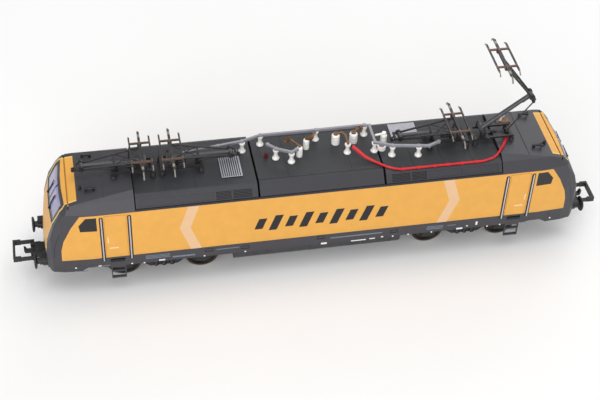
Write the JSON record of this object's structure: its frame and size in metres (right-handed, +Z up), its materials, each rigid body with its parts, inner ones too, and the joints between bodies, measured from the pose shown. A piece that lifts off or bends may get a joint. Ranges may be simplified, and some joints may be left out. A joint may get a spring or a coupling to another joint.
{
  "type": "model electric locomotive",
  "caption": "Four-axle model electric locomotive with swivelling bogies, folding roof pantographs and loop couplings.",
  "frame": {"origin": "Midway between the ends and the sides, at the level of the lowest points of the wheel flanges", "axes": "+X along the locomotive towards the end with the raised pantograph, +Z up, +Y to the left of someone looking along +X"},
  "size_m": [0.2332, 0.0352, 0.0831],
  "materials": {
    "cast_metal": "die-cast zinc, blackened",
    "body_paint": "satin paint on moulded plastic",
    "roof_plastic": "matt paint on moulded plastic",
    "clear_glazing": "clear moulded glazing",
    "smoked_glazing": "smoked moulded glazing",
    "interior_plastic": "moulded plastic",
    "lamp_lens": "clear and red moulded lens",
    "black_plastic": "matt moulded plastic",
    "circuit_board": "glass-fibre board with solder resist",
    "bright_steel": "bright steel",
    "dark_plastic": "matt moulded plastic",
    "step_plastic": "moulded plastic with silver-printed edges",
    "silver_wire": "silver-painted wire",
    "ceramic_white": "off-white moulded plastic",
    "conductor_grey": "light grey paint on wire",
    "copper": "brown copper paint",
    "cable_red": "red moulded lead",
    "grating_grey": "light grey paint",
    "pantograph_metal": "dark blackened metal with brown parts",
    "brass": "turned brass",
    "wheel_metal": "blackened wheel with bright tread",
    "black_metal": "blackened wire"
  },
  "bodies": {
    "root": {"chassis_frame": "cast_metal", "body_shell": "body_paint", "roof_middle": "roof_plastic", "roof_left": "roof_plastic", "roof_right": "roof_plastic", "windscreens": "clear_glazing", "side_windows": "smoked_glazing", "cab_interiors": "interior_plastic", "lamp_lenses": "lamp_lens", "wipers": "black_plastic", "circuit_board": "circuit_board", "motor_housing": "bright_steel", "underfloor_tank": "dark_plastic", "buffers": "black_plastic", "cab_steps": "step_plastic", "handrails": "silver_wire", "roof_horns": "black_plastic", "insulators": "ceramic_white", "busbars": "conductor_grey", "copper_links": "copper", "red_cable": "cable_red", "roof_gratings": "grating_grey", "pantograph_bases": "pantograph_metal"},
    "motor_rotor": {"motor_shaft": "bright_steel", "flywheels": "brass"},
    "cardan_left": {"cardan_left": "bright_steel"},
    "bogie_left": {"bogie_left_frame": "black_plastic", "bogie_left_gearbox": "black_plastic", "bogie_left_cover": "dark_plastic"},
    "worm_left": {"worm_left": "brass"},
    "cardan_right": {"cardan_right": "bright_steel"},
    "bogie_right": {"bogie_right_frame": "black_plastic", "bogie_right_gearbox": "black_plastic", "bogie_right_cover": "dark_plastic"},
    "worm_right": {"worm_right": "brass"},
    "wheelset_1": {"wheelset_1": "wheel_metal"},
    "wheelset_2": {"wheelset_2": "wheel_metal"},
    "wheelset_3": {"wheelset_3": "wheel_metal"},
    "wheelset_4": {"wheelset_4": "wheel_metal"},
    "pantograph_1_lower_arm": {"pantograph_1_lower_arm": "pantograph_metal"},
    "pantograph_1_rod": {"pantograph_1_rod": "pantograph_metal"},
    "pantograph_1_upper_arm": {"pantograph_1_upper_arm": "pantograph_metal"},
    "pantograph_1_head": {"pantograph_1_head": "pantograph_metal"},
    "pantograph_2_lower_arm": {"pantograph_2_lower_arm": "pantograph_metal"},
    "pantograph_2_rod": {"pantograph_2_rod": "pantograph_metal"},
    "pantograph_2_upper_arm": {"pantograph_2_upper_arm": "pantograph_metal"},
    "pantograph_2_head": {"pantograph_2_head": "pantograph_metal"},
    "pantograph_3_lower_arm": {"pantograph_3_lower_arm": "pantograph_metal"},
    "pantograph_3_rod": {"pantograph_3_rod": "pantograph_metal"},
    "pantograph_3_upper_arm": {"pantograph_3_upper_arm": "pantograph_metal"},
    "pantograph_3_head": {"pantograph_3_head": "pantograph_metal"},
    "pantograph_4_lower_arm": {"pantograph_4_lower_arm": "pantograph_metal"},
    "pantograph_4_rod": {"pantograph_4_rod": "pantograph_metal"},
    "pantograph_4_upper_arm": {"pantograph_4_upper_arm": "pantograph_metal"},
    "pantograph_4_head": {"pantograph_4_head": "pantograph_metal"},
    "coupler_left": {"coupler_left_shank": "black_plastic"},
    "coupler_left_loop": {"coupler_left_bow": "black_metal"},
    "coupler_right": {"coupler_right_shank": "black_plastic"},
    "coupler_right_loop": {"coupler_right_bow": "black_metal"}
  },
  "joints": [
    {"name": "motor_spin", "type": "hinge", "parent": "root", "child": "motor_rotor", "pos_m": [0, 0, 0.0167], "axis": [1, 0, 0], "continuous": true},
    {"name": "bogie_left_swivel", "type": "hinge", "parent": "root", "child": "bogie_left", "pos_m": [-0.06, 0, 0.0174], "axis": [0, 0, 1], "range_deg": [-9, 9]},
    {"name": "cardan_left_swing", "type": "hinge", "parent": "root", "child": "cardan_left", "pos_m": [-0.0185, 0, 0.0167], "axis": [0, 0, 1], "range_deg": [-9.7, 9.7]},
    {"name": "worm_left_spin", "type": "hinge", "parent": "bogie_left", "child": "worm_left", "pos_m": [-0.06, 0, 0.0167], "axis": [1, 0, 0], "continuous": true},
    {"name": "bogie_right_swivel", "type": "hinge", "parent": "root", "child": "bogie_right", "pos_m": [0.06, 0, 0.0174], "axis": [0, 0, 1], "range_deg": [-9, 9]},
    {"name": "cardan_right_swing", "type": "hinge", "parent": "root", "child": "cardan_right", "pos_m": [0.0185, 0, 0.0167], "axis": [0, 0, 1], "range_deg": [-9.7, 9.7]},
    {"name": "worm_right_spin", "type": "hinge", "parent": "bogie_right", "child": "worm_right", "pos_m": [0.06, 0, 0.0167], "axis": [1, 0, 0], "continuous": true},
    {"name": "wheelset_1_roll", "type": "hinge", "parent": "bogie_left", "child": "wheelset_1", "pos_m": [-0.07495, 0, 0.0082], "axis": [0, 1, 0], "continuous": true},
    {"name": "wheelset_2_roll", "type": "hinge", "parent": "bogie_left", "child": "wheelset_2", "pos_m": [-0.04505, 0, 0.0082], "axis": [0, 1, 0], "continuous": true},
    {"name": "wheelset_3_roll", "type": "hinge", "parent": "bogie_right", "child": "wheelset_3", "pos_m": [0.04505, 0, 0.0082], "axis": [0, 1, 0], "continuous": true},
    {"name": "wheelset_4_roll", "type": "hinge", "parent": "bogie_right", "child": "wheelset_4", "pos_m": [0.07495, 0, 0.0082], "axis": [0, 1, 0], "continuous": true},
    {"name": "pantograph_1_raise", "type": "hinge", "parent": "root", "child": "pantograph_1_lower_arm", "pos_m": [-0.0648, 0, 0.0495], "axis": [0, 1, 0], "range_deg": [0, 42]},
    {"name": "pantograph_1_rod_turn", "type": "hinge", "parent": "root", "child": "pantograph_1_rod", "pos_m": [-0.075, 0, 0.0478], "axis": [0, 1, 0], "range_deg": [0, 57.56]},
    {"name": "pantograph_1_knee", "type": "hinge", "parent": "pantograph_1_lower_arm", "child": "pantograph_1_upper_arm", "pos_m": [-0.0878, 0, 0.0497], "axis": [0, 1, 0], "range_deg": [-90.47, 0]},
    {"name": "pantograph_1_head_tilt", "type": "hinge", "parent": "pantograph_1_upper_arm", "child": "pantograph_1_head", "pos_m": [-0.06577, 0, 0.05241], "axis": [0, 1, 0], "range_deg": [0, 48.47]},
    {"name": "pantograph_2_raise", "type": "hinge", "parent": "root", "child": "pantograph_2_lower_arm", "pos_m": [-0.0555, 0, 0.0495], "axis": [0, -1, 0], "range_deg": [0, 42]},
    {"name": "pantograph_2_rod_turn", "type": "hinge", "parent": "root", "child": "pantograph_2_rod", "pos_m": [-0.0453, 0, 0.0478], "axis": [0, -1, 0], "range_deg": [0, 57.56]},
    {"name": "pantograph_2_knee", "type": "hinge", "parent": "pantograph_2_lower_arm", "child": "pantograph_2_upper_arm", "pos_m": [-0.0325, 0, 0.0497], "axis": [0, -1, 0], "range_deg": [-90.47, 0]},
    {"name": "pantograph_2_head_tilt", "type": "hinge", "parent": "pantograph_2_upper_arm", "child": "pantograph_2_head", "pos_m": [-0.05454, 0, 0.05241], "axis": [0, -1, 0], "range_deg": [0, 48.47]},
    {"name": "pantograph_3_raise", "type": "hinge", "parent": "root", "child": "pantograph_3_lower_arm", "pos_m": [0.0555, 0, 0.0495], "axis": [0, 1, 0], "range_deg": [0, 42]},
    {"name": "pantograph_3_rod_turn", "type": "hinge", "parent": "root", "child": "pantograph_3_rod", "pos_m": [0.0453, 0, 0.0478], "axis": [0, 1, 0], "range_deg": [0, 57.56]},
    {"name": "pantograph_3_knee", "type": "hinge", "parent": "pantograph_3_lower_arm", "child": "pantograph_3_upper_arm", "pos_m": [0.0325, 0, 0.0497], "axis": [0, 1, 0], "range_deg": [-90.47, 0]},
    {"name": "pantograph_3_head_tilt", "type": "hinge", "parent": "pantograph_3_upper_arm", "child": "pantograph_3_head", "pos_m": [0.05454, 0, 0.05241], "axis": [0, 1, 0], "range_deg": [0, 48.47]},
    {"name": "pantograph_4_raise", "type": "hinge", "parent": "root", "child": "pantograph_4_lower_arm", "pos_m": [0.0648, 0, 0.0495], "axis": [0, -1, 0], "range_deg": [-39, 3]},
    {"name": "pantograph_4_rod_turn", "type": "hinge", "parent": "root", "child": "pantograph_4_rod", "pos_m": [0.075, 0, 0.0478], "axis": [0, -1, 0], "range_deg": [-53.45, 4.12]},
    {"name": "pantograph_4_knee", "type": "hinge", "parent": "pantograph_4_lower_arm", "child": "pantograph_4_upper_arm", "pos_m": [0.08255, 0, 0.06413], "axis": [0, -1, 0], "range_deg": [-6.47, 84]},
    {"name": "pantograph_4_head_tilt", "type": "hinge", "parent": "pantograph_4_upper_arm", "child": "pantograph_4_head", "pos_m": [0.06888, 0, 0.08162], "axis": [0, -1, 0], "range_deg": [-45, 3.47]},
    {"name": "coupler_left_swing", "type": "hinge", "parent": "root", "child": "coupler_left", "pos_m": [-0.093, 0, 0.0094], "axis": [0, 0, 1], "range_deg": [-12, 12], "stiffness_Nm_per_rad": 0.0002},
    {"name": "coupler_left_lift", "type": "hinge", "parent": "coupler_left", "child": "coupler_left_loop", "pos_m": [-0.109, 0, 0.0094], "axis": [0, 1, 0], "range_deg": [0, 25]},
    {"name": "coupler_right_swing", "type": "hinge", "parent": "root", "child": "coupler_right", "pos_m": [0.093, 0, 0.0094], "axis": [0, 0, 1], "range_deg": [-12, 12], "stiffness_Nm_per_rad": 0.0002},
    {"name": "coupler_right_lift", "type": "hinge", "parent": "coupler_right", "child": "coupler_right_loop", "pos_m": [0.109, 0, 0.0094], "axis": [0, -1, 0], "range_deg": [0, 25]}
  ],
  "couplings": [
    {"joint": "cardan_left_swing", "follows": "bogie_left_swivel", "ratio": -1.046},
    {"joint": "worm_left_spin", "follows": "motor_spin", "ratio": 1},
    {"joint": "cardan_right_swing", "follows": "bogie_right_swivel", "ratio": -1.046},
    {"joint": "worm_right_spin", "follows": "motor_spin", "ratio": 1},
    {"joint": "wheelset_1_roll", "follows": "motor_spin", "ratio": 0.05},
    {"joint": "wheelset_2_roll", "follows": "motor_spin", "ratio": 0.05},
    {"joint": "wheelset_3_roll", "follows": "motor_spin", "ratio": 0.05},
    {"joint": "wheelset_4_roll", "follows": "motor_spin", "ratio": 0.05},
    {"joint": "pantograph_1_rod_turn", "follows": "pantograph_1_raise", "ratio": 1.3703},
    {"joint": "pantograph_1_knee", "follows": "pantograph_1_raise", "ratio": -2.1538},
    {"joint": "pantograph_1_head_tilt", "follows": "pantograph_1_raise", "ratio": 1.1539},
    {"joint": "pantograph_2_rod_turn", "follows": "pantograph_2_raise", "ratio": 1.3703},
    {"joint": "pantograph_2_knee", "follows": "pantograph_2_raise", "ratio": -2.1538},
    {"joint": "pantograph_2_head_tilt", "follows": "pantograph_2_raise", "ratio": 1.1539},
    {"joint": "pantograph_3_rod_turn", "follows": "pantograph_3_raise", "ratio": 1.3703},
    {"joint": "pantograph_3_knee", "follows": "pantograph_3_raise", "ratio": -2.1538},
    {"joint": "pantograph_3_head_tilt", "follows": "pantograph_3_raise", "ratio": 1.1539},
    {"joint": "pantograph_4_rod_turn", "follows": "pantograph_4_raise", "ratio": 1.3703},
    {"joint": "pantograph_4_knee", "follows": "pantograph_4_raise", "ratio": -2.1538},
    {"joint": "pantograph_4_head_tilt", "follows": "pantograph_4_raise", "ratio": 1.1539}
  ]
}
